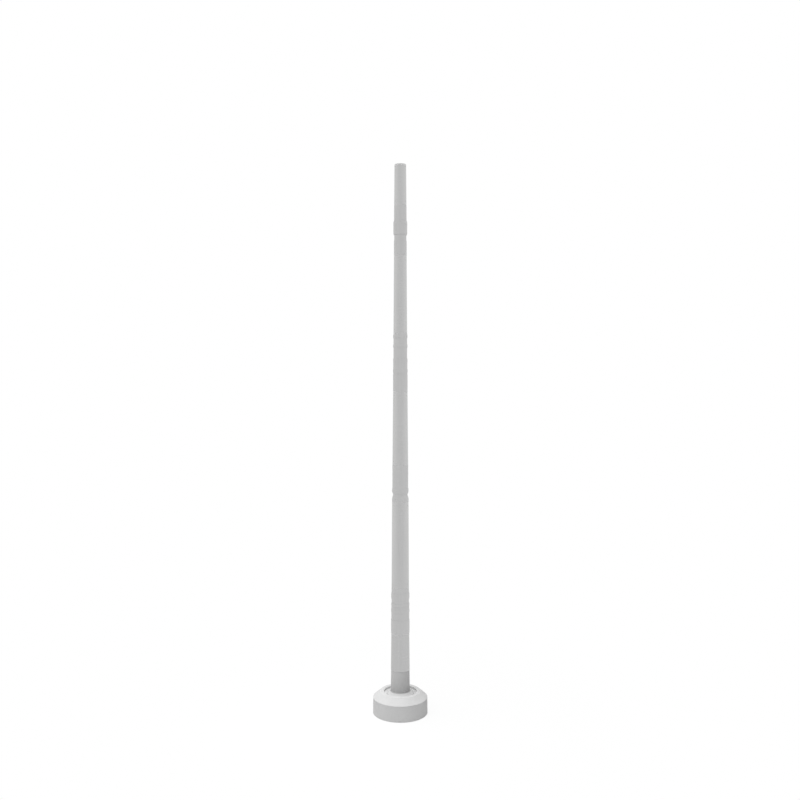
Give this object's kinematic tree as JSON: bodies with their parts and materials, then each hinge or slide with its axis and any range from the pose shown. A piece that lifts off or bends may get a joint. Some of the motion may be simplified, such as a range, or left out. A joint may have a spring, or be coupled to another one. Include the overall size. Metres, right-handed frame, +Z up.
{
  "type": "flagpole",
  "caption": "Bare sectional flagpole: tapered tubes joined by turned couplers with bead rings, on a foot tube in a round plinth with a bevelled shoulder.",
  "frame": {"origin": "centre of the plinth's flat underside, at ground level", "axes": "+Z up along the pole; X and Y are any two level directions, the pole being round"},
  "size_m": [0.6009, 0.601, 6],
  "materials": {
    "plinth": "smooth precast concrete, pale grey",
    "cover": "satin light grey paint on spun metal",
    "foot": "matt light grey paint over galvanised steel",
    "pole": "satin ground, the grinding marks running round the tube",
    "coupler": "blasted casting, dull and even"
  },
  "bodies": {
    "root": {"plinth_drum": "plinth", "plinth_infill": "plinth", "plinth_shoulder": "plinth", "base_flange": "foot", "flange_cover": "cover", "foot_tube": "foot", "butt_section": "pole", "lower_coupler": "coupler", "lower_band": "coupler", "lower_bead_1": "coupler", "lower_bead_2": "coupler", "lower_bead_3": "coupler", "lower_section": "pole", "mid_coupler": "coupler", "mid_ring": "coupler", "middle_section": "pole", "upper_coupler": "coupler", "upper_bead_1": "coupler", "upper_bead_2": "coupler", "upper_bead_3": "coupler", "upper_bead_4": "coupler", "upper_section": "pole", "top_coupler": "coupler", "top_collar": "coupler", "top_section": "pole", "top_cap": "pole"}
  },
  "joints": []
}
